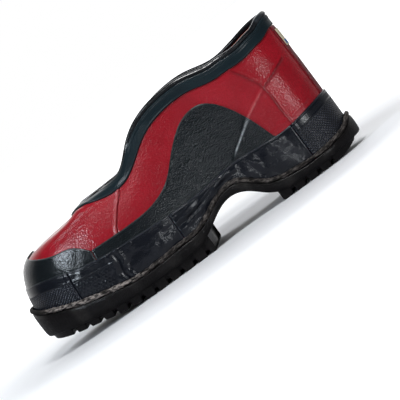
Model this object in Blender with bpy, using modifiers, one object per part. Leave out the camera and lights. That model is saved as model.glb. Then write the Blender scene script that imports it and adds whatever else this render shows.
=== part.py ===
"""A low-cut rubber garden clog for the left foot, laid up from rubber plies over one last.

A cloth lining carries thin inner plies, a red outer ply (vamp and two quarters), black overlays,
foxing strips round the foot of the wall, a cupped outsole and a heel. Every ply is a patch of
the same surface, moved out along its normals and given its own thickness.

Axes: +X points to the toe, +Y to the wearer's left (the outer side of the foot), +Z up. The
origin is on the ground under the middle of the clog. Lengths are in millimetres until a mesh is
made. "Aft" is the distance back from the toe. A place on the surface is (rib, rise): ribs are
counted round the clog from 0 at the toe, through 12 at the back of the heel, to 24 at the toe
again, and rise runs from 0 at the foot of the wall to 1 at the topline.
"""

import functools

import bmesh
import bpy
import numpy as np
from mathutils import Matrix

MM = 0.001

# ---------------------------------------------------------------- driving dimensions

LENGTH = 322.0
SHOULDER = 30.0          # plan distance in which the toe box reaches its full height
FULLNESS = 2.8           # superellipse power of the toe box and walls
TOE_SWING = 5.0          # shift of the toe towards the inner side of the foot
SWING_RANGE = (20, 190)  # and where along the clog it fades

OUTSOLE_THICK = 3.2
SOLE_WALL_TOP = 6.9      # how far the outsole's wall stands outside the red ply, at its top
SOLE_WALL_FOOT = 6.4     # and at its foot
UPPER_LIFT = 0.8         # the plies end this far over the outsole's floor

# Plies as (inner face, thickness), measured outwards from the red ply's outer face.
RED_PLY = (-1.2, 1.2)
STRAP_PLY = (-1.95, 0.45)
COUNTER_PLY = (-2.7, 0.45)
LINING_PLY = (-3.7, 0.7)
OVERLAY_PLY = (0.55, 1.2)
FOXING_PLY = (0.4, 2.1)
LABEL_PLY = (2.1, 0.5)

# Footbed plates as (underside, thickness), measured up from the outsole's underside.
FILLER_PLATE = (4.0, 1.6)
INSOLE_PLATE = (6.2, 1.6)
SOCK_PLATE = (8.4, 1.2)
FOOTBED_INSET = 4.8
BAND_WIDTH = 10.5

BEAD_RADIUS, BEAD_OUT = 2.4, 5.4
BEAD_OVER_WALL = 3.0
ROLL_RADIUS, ROLL_OUT, ROLL_LIFT = 2.1, -0.8, 2.8

GROOVE_DEPTH, GROOVE_WIDTH, GROOVE_DRAFT, BAR_PITCH = 4.2, 4.0, 0.6, 13.4
TREAD_OUT_TOP, TREAD_OUT_FOOT = 3.4, 2.0
TREAD_IN_SOLE = 1.6
HEEL_GAP = 0.5
FOREFOOT_TREAD, HEEL_TREAD = (3.0, 168.0), (238.0, 316.5)
FOREFOOT_FIRST_GROOVE, HEEL_FIRST_GROOVE = 24.0, 248.0
FOREFOOT_LAST_BAR, HEEL_LAST_BAR = 8.0, 22.0

# ---------------------------------------------------------------- the last's guide points

# Plan of the foot of the wall, and of the topline, at ribs 0 to 12: (aft, half width).
OUTLINE = [(5, 0), (7.5, 17), (17, 32), (36, 43.5), (62, 49.5), (95, 51.5), (130, 49.5),
           (165, 44), (200, 39.5), (232, 37.5), (264, 36.5), (298, 28), (317, 0)]
OPENING = [(88, 0), (88.4, 8), (90, 15.5), (94.5, 22), (102, 28), (117, 32.5), (140, 34.5),
           (168, 36), (198, 36.5), (228, 35.5), (259, 33), (291, 24), (314.5, 0)]
HALF_RIBS = len(OUTLINE) - 1
RIBS = 2 * HALF_RIBS

# Heights over the ground against aft.
TOPLINE = [(80, 95), (88, 96.5), (103, 97), (120, 97.4), (130, 98.3), (138, 100.8), (150, 109.4),
           (162, 118.9), (174, 125.9), (190, 131.3), (210, 133.9), (225, 133.5), (252, 128.4),
           (270, 130.2), (288, 134), (303, 136.3), (315, 136.6)]
# The outer side's topline dips this much lower, between these places, in front of the heel.
OUTER_DIP, DIP_START, DIP_END = 4.5, (256, 282), (313, 298)
VAMP_RIDGE = [(5, 86), (30, 88), (42, 89.4), (58, 90.6), (68, 91.6), (76, 93), (84, 95.4), (88, 96.5)]
SADDLE_EDGE = [(80, 62.5), (120, 61.5), (142, 63), (158, 68), (169, 75), (182, 88), (192, 97),
               (202, 104.5), (216, 109.5), (228, 108.5), (240, 99), (248, 87), (256, 70), (263, 50)]
FOXING_EDGE = [(5, 66), (25, 65), (55, 58), (87, 52.5), (100, 51.6), (144, 48.6), (187, 49),
               (221, 52), (264, 49), (274, 49), (296, 52), (319, 56)]
WALL_BEAD = [(5, 48), (20, 41), (36, 35.5), (52, 30.5), (68, 27), (84, 23.6), (100, 21.4), (118, 21.2),
             (150, 22.8), (166, 24.5), (183, 32), (198, 38.5), (209, 39.5), (219, 35.5), (230, 26.5),
             (242, 20), (256, 17.2), (285, 15.8), (303, 18), (311, 21), (317, 27)]
FLOOR = [(5, 21), (22, 18.5), (40, 15), (65, 11.5), (90, 9.5), (120, 9), (150, 9.8), (166, 14),
         (182, 23), (198, 29.5), (209, 29), (219, 24), (229, 15.5), (240, 9), (252, 7), (290, 7),
         (306, 7.4), (317, 8.4)]
# Running face of the tread: wherever the curve dips under the ground it is flat at ground level.
TREAD_FACE = [(5, 16), (13, 14), (22, 12), (39, 9.2), (65, 5), (85, 2.2), (99, 0.7), (112, -0.4),
              (205, -1), (290, -0.3), (300, 1), (308, 3), (318, 7)]
# Height of the toe cap's edge against ribs from the toe: a point on the centre line, then a wing.
CAP_EDGE = [(0, 87.9), (0.5, 86.6), (1, 86.1), (1.5, 85.6), (2, 84.2), (2.5, 82), (3, 79), (3.5, 76.5),
            (4, 73.5), (4.25, 69), (4.5, 62)]

# ---------------------------------------------------------------- where the panels end, in ribs

# The vamp's end against rise: upright at its foot, leaning back towards the topline.
VAMP_SEAM = [(0, 5.25), (0.45, 5.27), (0.57, 5.37), (0.72, 5.6), (0.81, 5.77), (1, 5.97)]
LINING_SEAM = 5.25
CAP_END = 4.5
FOXING_TOE = 3.55
SADDLE_END = 10.0
FOXING_SEAM = 6.6
FOXING_HEEL = 10.45
PUFF_END = 3.0
COUNTER_START = 9.5
STRAP_RIBS = (8.0, 11.2)
SHANK_RIBS = (6.5, 8.5)
STAY_HALF, LABEL_HALF = 0.3, 0.22
BUTT_GAP = 0.012         # half of the gap at a butt joint, in ribs
PLATE_GAP = 0.03         # gap between the filler plates, in ribs
LAP_GAP = 0.02           # half of the gap where the binding's ends meet at the back, in ribs
EDGE_GAP = 0.006         # and in rise
PUFF_TOP = 0.42
COUNTER_TOP = 0.8
STRAP_WIDTH = 0.2
STRAP_FOOT = (0.12, 0.66)
LABEL_RISES = (0.74, 0.88)

# ---------------------------------------------------------------- fineness

STATION_STEP = 0.5       # ribs between one column of facets and the next
ROWS = 15
SEARCH_STEPS = 240
BORDER_MARGIN = 0.08     # a facet row this close to a border, in rows, is moved onto it
STATION_MARGIN = 0.1     # a station this close to a panel's end, in ribs, is left out
FINE_STEP = 0.05         # ribs between the columns that the normals are measured over
FINE_ROWS = 10           # and how many of their rows make one row of facets
NUDGE = 0.02             # ribs to either side, to find the direction of an edge
COINCIDE = 1e-7          # metres within which corners are one
FLOOR_RINGS = 2
SPINE = (42, 285)        # where the plates' rings close, fore and aft


# ---------------------------------------------------------------- curves

def cubic(points, periodic=False):
    """A smooth cubic through the points, as a function. A periodic one ends as it begins."""
    x, y = np.array(points, float).T
    count = len(x)
    gap = np.diff(x)
    matrix, right = np.zeros((count, count)), np.zeros(count)
    for k in range(1, count - 1):
        matrix[k, k - 1:k + 2] = gap[k - 1], 2 * (gap[k - 1] + gap[k]), gap[k]
        right[k] = 6 * ((y[k + 1] - y[k]) / gap[k] - (y[k] - y[k - 1]) / gap[k - 1])
    matrix[0, 0] = matrix[-1, -1] = 1
    if periodic:
        matrix[0, -1] = -1
        matrix[-1, -1] = 0
        matrix[-1, [0, 1, -2]] = 2 * (gap[0] + gap[-1]), gap[0], gap[-1]
        right[-1] = 6 * ((y[1] - y[0]) / gap[0] - (y[-1] - y[-2]) / gap[-1])
    bend = np.linalg.solve(matrix, right)

    def value(at):
        at = np.asarray(at, float)
        at = x[0] + (at - x[0]) % (x[-1] - x[0]) if periodic else np.clip(at, x[0], x[-1])
        k = np.clip(np.searchsorted(x, at, side="right") - 1, 0, count - 2)
        past, left = at - x[k], x[k + 1] - at
        return ((bend[k] * left**3 + bend[k + 1] * past**3) / (6 * gap[k])
                + (y[k] / gap[k] - bend[k] * gap[k] / 6) * left
                + (y[k + 1] / gap[k] - bend[k + 1] * gap[k] / 6) * past)

    return value


def plan_loop(guide):
    """(aft, side) against rib for a plan curve that is the same on both sides."""
    aft = [p[0] for p in guide]
    side = [p[1] for p in guide]
    aft_curve = cubic(list(enumerate(aft + aft[-2::-1])), periodic=True)
    side_curve = cubic(list(enumerate(side + [-s for s in side[-2::-1]])), periodic=True)
    return lambda rib: np.array([aft_curve(rib), side_curve(rib)])


outline, opening = plan_loop(OUTLINE), plan_loop(OPENING)
topline, vamp_ridge = cubic(TOPLINE), cubic(VAMP_RIDGE)
saddle_edge, foxing_edge, wall_bead = cubic(SADDLE_EDGE), cubic(FOXING_EDGE), cubic(WALL_BEAD)
smooth_floor, tread_curve, cap_edge = cubic(FLOOR), cubic(TREAD_FACE), cubic(CAP_EDGE)

STATION_AFTS = [float(outline(k * STATION_STEP)[0]) for k in range(int(HALF_RIBS / STATION_STEP) + 1)]


def floor_under(aft):
    """Height of the outsole's underside, straight from station to station."""
    return np.interp(aft, STATION_AFTS, smooth_floor(STATION_AFTS))


def floor_stretch(aft):
    """How much taller a plate of the sole measures, straight up, than square to its slope."""
    slope = (smooth_floor(aft + 3) - smooth_floor(aft - 3)) / 6
    return np.sqrt(1 + slope**2)


def smoothstep(value, start, end):
    share = np.clip((np.asarray(value, float) - start) / (end - start), 0, 1)
    return share * share * (3 - 2 * share)


def swing(aft):
    """Sideways shift of the centre line."""
    return -TOE_SWING * (1 - smoothstep(aft, *SWING_RANGE))


def from_toe(rib):
    """Ribs from the toe, either way round."""
    return abs((rib + HALF_RIBS) % RIBS - HALF_RIBS)


def wall_top(rib):
    """Height of the outsole wall's upper edge."""
    return float(wall_bead(outline(rib)[0]) - BEAD_OVER_WALL)


def placed(aft, side, height):
    """A point in the clog's own axes."""
    return np.array([LENGTH / 2 - aft, side + swing(aft), height])


# ---------------------------------------------------------------- the last

def edge_height(aft, side):
    """The topline's height, with the outer side's dip."""
    dip = OUTER_DIP * smoothstep(aft, *DIP_START) * smoothstep(aft, *DIP_END)
    return topline(aft) - (dip if side > 0 else 0)


def rib_section(rib, samples):
    """The last's section along one rib, foot to topline, in evenly spaced points."""
    foot, top = outline(rib), opening(rib)
    reach = np.linalg.norm(top - foot)
    share = np.linspace(0, 1, 4 * samples) ** 3
    inset = np.clip(share * reach / SHOULDER, 0, 1)
    rise = (1 - (1 - inset) ** FULLNESS) ** (1 / FULLNESS)
    aft, side = foot[:, None] + np.outer(top - foot, share)
    low = floor_under(foot[0]) + OUTSOLE_THICK * floor_stretch(foot[0]) + UPPER_LIFT
    crest = edge_height(*top) * vamp_ridge(aft) / vamp_ridge(top[0])
    points = np.array(placed(aft, side, low + (crest - low) * rise / rise[-1])).T
    run = np.r_[0, np.cumsum(np.linalg.norm(np.diff(points, axis=0), axis=1))]
    even = np.linspace(0, run[-1], samples + 1)
    return np.column_stack([np.interp(even, run, points[:, k]) for k in range(3)])


def last_tables():
    """Points and outward normals of the last: one column for each station, from foot to top."""
    fine = np.array([rib_section(rib, FINE_ROWS * ROWS) for rib in np.arange(0, RIBS, FINE_STEP)])
    along = np.roll(fine, -1, axis=0) - np.roll(fine, 1, axis=0)
    normals = np.cross(along, np.gradient(fine, axis=1))
    normals /= np.linalg.norm(normals, axis=2, keepdims=True)
    every = round(STATION_STEP / FINE_STEP)
    return fine[::every, ::FINE_ROWS], normals[::every, ::FINE_ROWS]


STATION_POINTS, STATION_NORMALS = last_tables()
STATION_COUNT = len(STATION_POINTS)
ROW_RISES = np.linspace(0, 1, ROWS + 1)


@functools.cache
def rib_column(rib, out):
    """The faceted last along one rib, moved out along its normals."""
    station, share = divmod(rib / STATION_STEP, 1)
    near, far = (STATION_POINTS[k % STATION_COUNT] + out * STATION_NORMALS[k % STATION_COUNT]
                 for k in (int(station), int(station) + 1))
    return near * (1 - share) + far * share


def on_last(rib, rise, out):
    """The point that stands `out` outside the faceted last."""
    column = rib_column(rib, out)
    return np.array([np.interp(rise, ROW_RISES, column[:, k]) for k in range(3)])


def rise_where(rib, edge):
    """How far up a rib its height first passes edge(aft)."""
    rises = np.linspace(0, 1, SEARCH_STEPS + 1)
    column = rib_column(rib, 0)
    aft = LENGTH / 2 - np.interp(rises, ROW_RISES, column[:, 0])
    over = np.interp(rises, ROW_RISES, column[:, 2]) - edge(aft)
    above = np.nonzero(over > 0)[0]
    if not len(above):
        return 1.0
    if above[0] == 0:
        return 0.0
    k = above[0]
    return float(np.interp(0, over[k - 1:k + 1], rises[k - 1:k + 1]))


def foxing_rise(rib):
    return rise_where(rib, foxing_edge)


def over_foxing(rib):
    return foxing_rise(rib) + EDGE_GAP


def band_rise(rib):
    """Rise of the binding's lower edge, a band's width square down from the topline."""
    column = rib_column(rib, 0)
    steps = np.diff(column, axis=0)
    lengths = np.linalg.norm(steps, axis=1)
    along = rib_column(rib + NUDGE, 0)[-1] - rib_column(rib - NUDGE, 0)[-1]
    along /= np.linalg.norm(along)
    square = np.linalg.norm(np.cross(steps[-1] / lengths[-1], along))
    return float(1 - BAND_WIDTH / (square * lengths.sum()))


def saddle_rise(rib):
    return max(rise_where(rib, saddle_edge), over_foxing(rib) + EDGE_GAP)


def cap_rise(rib):
    return rise_where(rib, lambda aft: cap_edge(from_toe(rib)))


def outline_offset(rib, out):
    """The foot of the wall in plan, moved out."""
    along = outline(rib + NUDGE) - outline(rib - NUDGE)
    along /= np.linalg.norm(along)
    return outline(rib) + out * np.array([-along[1], along[0]])


# ---------------------------------------------------------------- making objects

def clear_scene():
    for obj in list(bpy.data.objects):
        bpy.data.objects.remove(obj)


def new_collection(name):
    collection = bpy.data.collections.new(name)
    bpy.context.scene.collection.children.link(collection)
    return collection


def make_material(name, colour, roughness):
    material = bpy.data.materials.new(name)
    material.use_nodes = True
    shader = material.node_tree.nodes["Principled BSDF"]
    shader.inputs["Base Color"].default_value = (*colour, 1)
    shader.inputs["Roughness"].default_value = roughness
    shader.inputs["Metallic"].default_value = 0
    material.diffuse_color = (*colour, 1)
    return material


def add_object(name, data, material):
    obj = bpy.data.objects.new(name, data)
    material = material.copy()
    material.name = name
    data.materials.append(material)
    clog.objects.link(obj)
    return obj


def wrapped_grid(name, columns, rows, place):
    """A grid laid onto place(column, row), with the corners that fall together made one."""
    work = bmesh.new()
    bmesh.ops.create_grid(work, x_segments=columns, y_segments=rows, size=1)
    for vert in work.verts:
        column = round((vert.co.x + 1) / 2 * columns)
        row = round((vert.co.y + 1) / 2 * rows)
        vert.co = place(column, row) * MM
    bmesh.ops.triangulate(work, faces=work.faces, quad_method="FIXED")
    bmesh.ops.remove_doubles(work, verts=work.verts, dist=COINCIDE)
    mesh = bpy.data.meshes.new(name)
    work.to_mesh(mesh)
    work.free()
    mesh.shade_smooth()
    return mesh


def add_sheet(name, columns, rows, place, thickness, material, side=1):
    """An open surface given thickness on one side."""
    sheet = add_object(name, wrapped_grid(name, columns, rows, place), material)
    solid = sheet.modifiers.new("thickness", "SOLIDIFY")
    solid.thickness = thickness * MM
    solid.offset = side
    solid.use_even_offset = True
    return sheet


def vamp_seam(rise):
    return float(np.interp(rise, *zip(*VAMP_SEAM)))


def stations_between(first, last):
    inside = [k * STATION_STEP for k in range(-STATION_COUNT, 2 * STATION_COUNT)]
    return [first, *(rib for rib in inside if first + STATION_MARGIN < rib < last - STATION_MARGIN), last]


def add_ply(name, ribs, ply, material, low=None, high=None, trim=None):
    """A panel over the last between two ribs, from rise low(rib) to rise high(rib). trim(rib, rise)
    moves a place back inside a border that leans across the ribs."""
    inner, thickness = ply
    stations = stations_between(*ribs)
    lows = [low(rib) if low else 0.0 for rib in stations]
    highs = [high(rib) if high else 1.0 for rib in stations]
    margin = BORDER_MARGIN / ROWS

    def place(column, row):
        rise = ROW_RISES[row]
        if rise < lows[column] + margin:
            rise = lows[column]
        elif rise > highs[column] - margin:
            rise = highs[column]
        rib = trim(stations[column], rise) if trim else stations[column]
        return on_last(rib, rise, inner)

    return add_sheet(name, len(stations) - 1, ROWS, place, thickness, material)


def both_sides(name, ribs, ply, material, low=None, high=None):
    """A left panel, and the same panel on the right."""
    first, last = ribs
    add_ply(f"{name}_left", (first, last), ply, material, low, high)
    add_ply(f"{name}_right", (RIBS - last, RIBS - first), ply, material, low, high)


def add_plate(name, ribs, plate, material):
    """A plate of the footbed, from edge to edge between two ribs."""
    underside, thickness = plate
    stations = stations_between(*ribs)

    def place(column, row):
        edge = outline_offset(stations[column], -FOOTBED_INSET)
        spine = np.array([np.clip(edge[0], *SPINE), 0])
        from_edge = FLOOR_RINGS - abs(row - FLOOR_RINGS)
        aft, side = edge + (spine - edge) * from_edge / FLOOR_RINGS
        side = side if row <= FLOOR_RINGS else -side
        return placed(aft, side, floor_under(aft) + underside * floor_stretch(aft))

    return add_sheet(name, len(stations) - 1, 2 * FLOOR_RINGS, place, thickness, material)


def add_cup(name, material):
    """The outsole's floor and wall: the outer skin, thickened inwards."""
    stations = stations_between(0, HALF_RIBS)
    rows = 2 * (FLOOR_RINGS + 1)

    def place(column, row):
        rib = stations[column]
        from_top = rows // 2 - abs(row - rows // 2)
        if from_top == 0:
            aft, side = outline_offset(rib, SOLE_WALL_TOP)
            height = wall_top(rib)
        else:
            edge = outline_offset(rib, SOLE_WALL_FOOT)
            spine = np.array([np.clip(edge[0], *SPINE), 0])
            aft, side = edge + (spine - edge) * (from_top - 1) / FLOOR_RINGS
            height = floor_under(aft)
        return placed(aft, side if row <= rows // 2 else -side, height)

    return add_sheet(name, len(stations) - 1, rows, place, OUTSOLE_THICK, material)


def tread_columns(start, end, first_groove, rounded_start):
    """Places along a tread as (aft, groove depth), closer together where its plan is rounded."""
    near_round = [0, 2, 5, 10]
    columns = [(start + step, 0) for step in near_round] if rounded_start else [(start, 0)]
    groove = first_groove
    last_groove = end - (FOREFOOT_LAST_BAR if rounded_start else HEEL_LAST_BAR)
    while groove < last_groove:
        far = groove + GROOVE_WIDTH
        columns += [(groove, 0), (groove + GROOVE_DRAFT, GROOVE_DEPTH),
                    (far - GROOVE_DRAFT, GROOVE_DEPTH), (far, 0)]
        groove += BAR_PITCH
    columns += [(end, 0)] if rounded_start else [(end - step, 0) for step in near_round[::-1]]
    return columns


def tread_half_width(aft, out):
    ribs = np.linspace(0, HALF_RIBS, 240)
    edge = np.array([outline_offset(rib, out) for rib in ribs])
    return float(np.interp(aft, edge[:, 0], edge[:, 1]))


def add_tread(name, columns, top_over_floor, material):
    """A slab with grooves right across it, from its running face up to the outsole."""
    rows = 2
    last_column = len(columns) - 1

    def corner(column, row, out, height):
        aft = columns[column][0]
        side = tread_half_width(aft, out) * (1 - 2 * row / rows)
        return placed(aft, side, height) * MM

    work = bmesh.new()
    bmesh.ops.create_grid(work, x_segments=last_column, y_segments=rows, size=1)
    made = bmesh.ops.extrude_face_region(work, geom=work.faces[:])
    tops = {v for v in made["geom"] if isinstance(v, bmesh.types.BMVert)}
    for vert in work.verts:
        column = round((vert.co.x + 1) / 2 * last_column)
        row = round((vert.co.y + 1) / 2 * rows)
        aft, depth = columns[column]
        if vert in tops:
            vert.co = corner(column, row, TREAD_OUT_TOP, floor_under(aft) + top_over_floor)
        else:
            vert.co = corner(column, row, TREAD_OUT_FOOT, max(float(tread_curve(aft)), 0) + depth)
    bmesh.ops.recalc_face_normals(work, faces=work.faces)
    bmesh.ops.triangulate(work, faces=work.faces)
    mesh = bpy.data.meshes.new(name)
    work.to_mesh(mesh)
    work.free()
    return add_object(name, mesh, material)


def add_cord(name, points, radius, material):
    """A round cord in a closed loop through the points."""
    path = bpy.data.curves.new(name, "CURVE")
    path.dimensions = "3D"
    path.bevel_depth = radius * MM
    path.bevel_resolution = 1
    spline = path.splines.new("POLY")
    spline.points.add(len(points) - 1)
    for handle, point in zip(spline.points, points):
        handle.co = (*(np.asarray(point) * MM), 1)
    spline.use_cyclic_u = True
    spline.use_smooth = True
    return add_object(name, path, material)


# ---------------------------------------------------------------- the clog

clear_scene()
clog = new_collection("rubber garden clog")
cutters = new_collection("cutters")

RED = make_material("red rubber", (0.36, 0.02, 0.03), 0.5)
DARK_RED = make_material("dark red rubber", (0.18, 0.012, 0.018), 0.5)
BLACK = make_material("black rubber", (0.013, 0.017, 0.02), 0.4)
SLATE = make_material("slate rubber", (0.03, 0.045, 0.055), 0.5)
GREY = make_material("grey-brown rubber", (0.03, 0.025, 0.025), 0.8)
GUM = make_material("gum rubber", (0.25, 0.12, 0.05), 0.7)
CLOTH = make_material("lining cloth", (0.25, 0.03, 0.02), 0.9)
BOARD = make_material("fibre board", (0.3, 0.2, 0.12), 0.9)
LABEL = make_material("label", (0.7, 0.66, 0.5), 0.6)

# Sole
outsole = add_cup("outsole", BLACK)
forefoot_columns = tread_columns(*FOREFOOT_TREAD, FOREFOOT_FIRST_GROOVE, True)
forefoot = add_tread("forefoot tread", forefoot_columns, TREAD_IN_SOLE, BLACK)
clog.objects.unlink(forefoot)
cutters.objects.link(forefoot)
forefoot.hide_render = True
forefoot.display_type = "WIRE"
union = outsole.modifiers.new("forefoot tread", "BOOLEAN")
union.operation = "UNION"
union.solver = "EXACT"
union.object = forefoot
add_tread("heel", tread_columns(*HEEL_TREAD, HEEL_FIRST_GROOVE, False), -HEEL_GAP, BLACK)

# Footbed
shank_start, shank_end = SHANK_RIBS
add_plate("forefoot_filler", (0, shank_start - PLATE_GAP), FILLER_PLATE, GUM)
add_plate("shank_stiffener", SHANK_RIBS, FILLER_PLATE, GUM)
add_plate("heel_filler", (shank_end + PLATE_GAP, HALF_RIBS), FILLER_PLATE, GUM)
add_plate("insole", (0, HALF_RIBS), INSOLE_PLATE, BOARD)
add_plate("sock_lining", (0, HALF_RIBS), SOCK_PLATE, CLOTH)

# Lining and inner plies
back_seam = HALF_RIBS - BUTT_GAP
add_ply("lining_vamp", (-LINING_SEAM, LINING_SEAM), LINING_PLY, CLOTH)
both_sides("lining_quarter", (LINING_SEAM + BUTT_GAP, back_seam), LINING_PLY, CLOTH)
add_ply("toe_puff", (-PUFF_END, PUFF_END), COUNTER_PLY, GUM, high=lambda rib: PUFF_TOP)
add_ply("counter_ply", (COUNTER_START, RIBS - COUNTER_START), COUNTER_PLY, GUM,
        high=lambda rib: COUNTER_TOP)


def strap_foot(rib):
    """Rise of the ankle strap's lower edge: it climbs towards the back."""
    first, last = STRAP_RIBS
    return float(np.interp(from_toe(rib), [first, last], STRAP_FOOT))


both_sides("ankle_strap", STRAP_RIBS, STRAP_PLY, GUM, strap_foot,
           lambda rib: strap_foot(rib) + STRAP_WIDTH)

# Outer plies
seam_start, seam_end = VAMP_SEAM[0][1], VAMP_SEAM[-1][1]
add_ply("vamp", (-seam_end, seam_end), RED_PLY, RED,
        trim=lambda rib, rise: float(np.clip(rib, -vamp_seam(rise), vamp_seam(rise))))
add_ply("quarter_left", (seam_start + BUTT_GAP, back_seam), RED_PLY, RED,
        trim=lambda rib, rise: max(rib, vamp_seam(rise) + BUTT_GAP))
add_ply("quarter_right", (RIBS - back_seam, RIBS - seam_start - BUTT_GAP), RED_PLY, RED,
        trim=lambda rib, rise: min(rib, RIBS - vamp_seam(rise) - BUTT_GAP))

# Overlays
add_ply("toe_cap", (-CAP_END + BUTT_GAP, CAP_END - BUTT_GAP), OVERLAY_PLY, BLACK, over_foxing, cap_rise)
both_sides("saddle", (CAP_END + BUTT_GAP, SADDLE_END), OVERLAY_PLY, BLACK, over_foxing, saddle_rise)
add_ply("back_stay", (HALF_RIBS - STAY_HALF, HALF_RIBS + STAY_HALF), OVERLAY_PLY, DARK_RED,
        over_foxing, lambda rib: band_rise(rib) - EDGE_GAP)
add_ply("topline_binding", (HALF_RIBS + LAP_GAP - RIBS, HALF_RIBS - LAP_GAP), OVERLAY_PLY, SLATE, band_rise)
add_ply("heel_label", (HALF_RIBS - LABEL_HALF, HALF_RIBS + LABEL_HALF), LABEL_PLY, LABEL,
        lambda rib: LABEL_RISES[0], lambda rib: LABEL_RISES[1])

# Foxing
add_ply("foxing_toe", (-FOXING_TOE + BUTT_GAP, FOXING_TOE - BUTT_GAP), FOXING_PLY, BLACK, high=foxing_rise)
both_sides("foxing_front", (FOXING_TOE + BUTT_GAP, FOXING_SEAM - BUTT_GAP), FOXING_PLY, BLACK,
           high=foxing_rise)
both_sides("foxing_rear", (FOXING_SEAM + BUTT_GAP, FOXING_HEEL - BUTT_GAP), FOXING_PLY, BLACK,
           high=foxing_rise)
add_ply("foxing_heel", (FOXING_HEEL + BUTT_GAP, RIBS - FOXING_HEEL - BUTT_GAP), FOXING_PLY, BLACK,
        high=foxing_rise)

# Cords
bead = [placed(*outline_offset(rib, BEAD_OUT), wall_top(rib) + BEAD_OVER_WALL)
        for rib in np.arange(0, RIBS, STATION_STEP)]
add_cord("edge_bead", bead, BEAD_RADIUS, GREY)
edge_points, edge_normals = STATION_POINTS[:, -1], STATION_NORMALS[:, -1]
edge_up = np.cross(edge_normals, np.roll(edge_points, -1, axis=0) - np.roll(edge_points, 1, axis=0))
edge_up /= np.linalg.norm(edge_up, axis=1, keepdims=True)
roll = edge_points + ROLL_OUT * edge_normals + ROLL_LIFT * edge_up
add_cord("topline_bead", roll, ROLL_RADIUS, BLACK)

# The origin goes to the ground under the middle of the clog.
graph = bpy.context.evaluated_depsgraph_get()
lows, highs = [], []
for obj in clog.objects:
    evaluated = obj.evaluated_get(graph)
    points = np.array([vert.co for vert in evaluated.to_mesh().vertices])
    lows.append(points.min(axis=0))
    highs.append(points.max(axis=0))
    evaluated.to_mesh_clear()
low, high = np.min(lows, axis=0), np.max(highs, axis=0)
to_origin = Matrix.Translation((-(low[0] + high[0]) / 2, -(low[1] + high[1]) / 2, -low[2]))
for obj in [*clog.objects, forefoot]:
    obj.data.transform(to_origin)
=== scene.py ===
"""The looks of a low-cut rubber garden clog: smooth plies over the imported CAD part."""

import math
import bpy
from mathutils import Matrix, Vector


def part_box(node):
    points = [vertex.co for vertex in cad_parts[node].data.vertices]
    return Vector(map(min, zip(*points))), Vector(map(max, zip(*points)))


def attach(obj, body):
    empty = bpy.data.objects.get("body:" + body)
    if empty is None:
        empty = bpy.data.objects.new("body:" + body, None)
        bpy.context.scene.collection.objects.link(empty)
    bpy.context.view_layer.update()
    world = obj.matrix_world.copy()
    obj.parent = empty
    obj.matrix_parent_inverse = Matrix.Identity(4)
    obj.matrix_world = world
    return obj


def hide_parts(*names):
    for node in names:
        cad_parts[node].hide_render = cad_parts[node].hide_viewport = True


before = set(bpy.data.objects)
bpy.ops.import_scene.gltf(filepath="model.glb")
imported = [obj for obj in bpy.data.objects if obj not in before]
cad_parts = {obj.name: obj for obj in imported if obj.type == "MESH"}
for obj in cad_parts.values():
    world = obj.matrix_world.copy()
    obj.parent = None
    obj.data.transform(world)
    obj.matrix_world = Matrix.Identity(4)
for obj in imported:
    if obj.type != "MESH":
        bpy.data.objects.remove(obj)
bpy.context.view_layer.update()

from types import SimpleNamespace

import bpy
import numpy as np
from mathutils import Matrix, Vector

MM = 0.001

# ---------------------------------------------------------------- the last, as in the CAD part
# Plan guide points (aft, half width) at ribs 0 to 12, and heights against aft, in millimetres.

LENGTH, SHOULDER, FULLNESS, TOE_SWING = 322.0, 30.0, 2.8, 5.0
OUTSOLE_THICK, UPPER_LIFT = 3.2, 0.8
OUTLINE = [(5, 0), (7.5, 17), (17, 32), (36, 43.5), (62, 49.5), (95, 51.5), (130, 49.5),
           (165, 44), (200, 39.5), (232, 37.5), (264, 36.5), (298, 28), (317, 0)]
OPENING = [(88, 0), (88.4, 8), (90, 15.5), (94.5, 22), (102, 28), (117, 32.5), (140, 34.5),
           (168, 36), (198, 36.5), (228, 35.5), (259, 33), (291, 24), (314.5, 0)]
HALF_RIBS = len(OUTLINE) - 1
RIBS = 2 * HALF_RIBS
TOPLINE = [(80, 95), (88, 96.5), (103, 97), (120, 97.4), (130, 98.3), (138, 100.8), (150, 109.4),
           (162, 118.9), (174, 125.9), (190, 131.3), (210, 133.9), (225, 133.5), (252, 128.4),
           (270, 130.2), (288, 134), (303, 136.3), (315, 136.6)]
# The outer side's topline dips this much lower, between these places, in front of the heel.
OUTER_DIP, DIP_START, DIP_END = 4.5, (256, 282), (313, 298)
VAMP_RIDGE = [(5, 86), (30, 88), (42, 89.4), (58, 90.6), (68, 91.6), (76, 93), (84, 95.4), (88, 96.5)]
SADDLE_EDGE = [(80, 62.5), (120, 61.5), (142, 63), (158, 68), (169, 75), (182, 88), (192, 97),
               (202, 104.5), (216, 109.5), (228, 108.5), (240, 99), (248, 87), (256, 70), (263, 50)]
FOXING_EDGE = [(5, 66), (25, 65), (55, 58), (87, 52.5), (100, 51.6), (144, 48.6), (187, 49),
               (221, 52), (264, 49), (274, 49), (296, 52), (319, 56)]
WALL_BEAD = [(5, 48), (20, 41), (36, 35.5), (52, 30.5), (68, 27), (84, 23.6), (100, 21.4), (118, 21.2),
             (150, 22.8), (166, 24.5), (183, 32), (198, 38.5), (209, 39.5), (219, 35.5), (230, 26.5),
             (242, 20), (256, 17.2), (285, 15.8), (303, 18), (311, 21), (317, 27)]
FLOOR = [(5, 21), (22, 18.5), (40, 15), (65, 11.5), (90, 9.5), (120, 9), (150, 9.8), (166, 14),
         (182, 23), (198, 29.5), (209, 29), (219, 24), (229, 15.5), (240, 9), (252, 7), (290, 7),
         (306, 7.4), (317, 8.4)]
TREAD_FACE = [(5, 16), (13, 14), (22, 12), (39, 9.2), (65, 5), (85, 2.2), (99, 0.7), (112, -0.4),
              (205, -1), (290, -0.3), (300, 1), (308, 3), (318, 7)]
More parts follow.
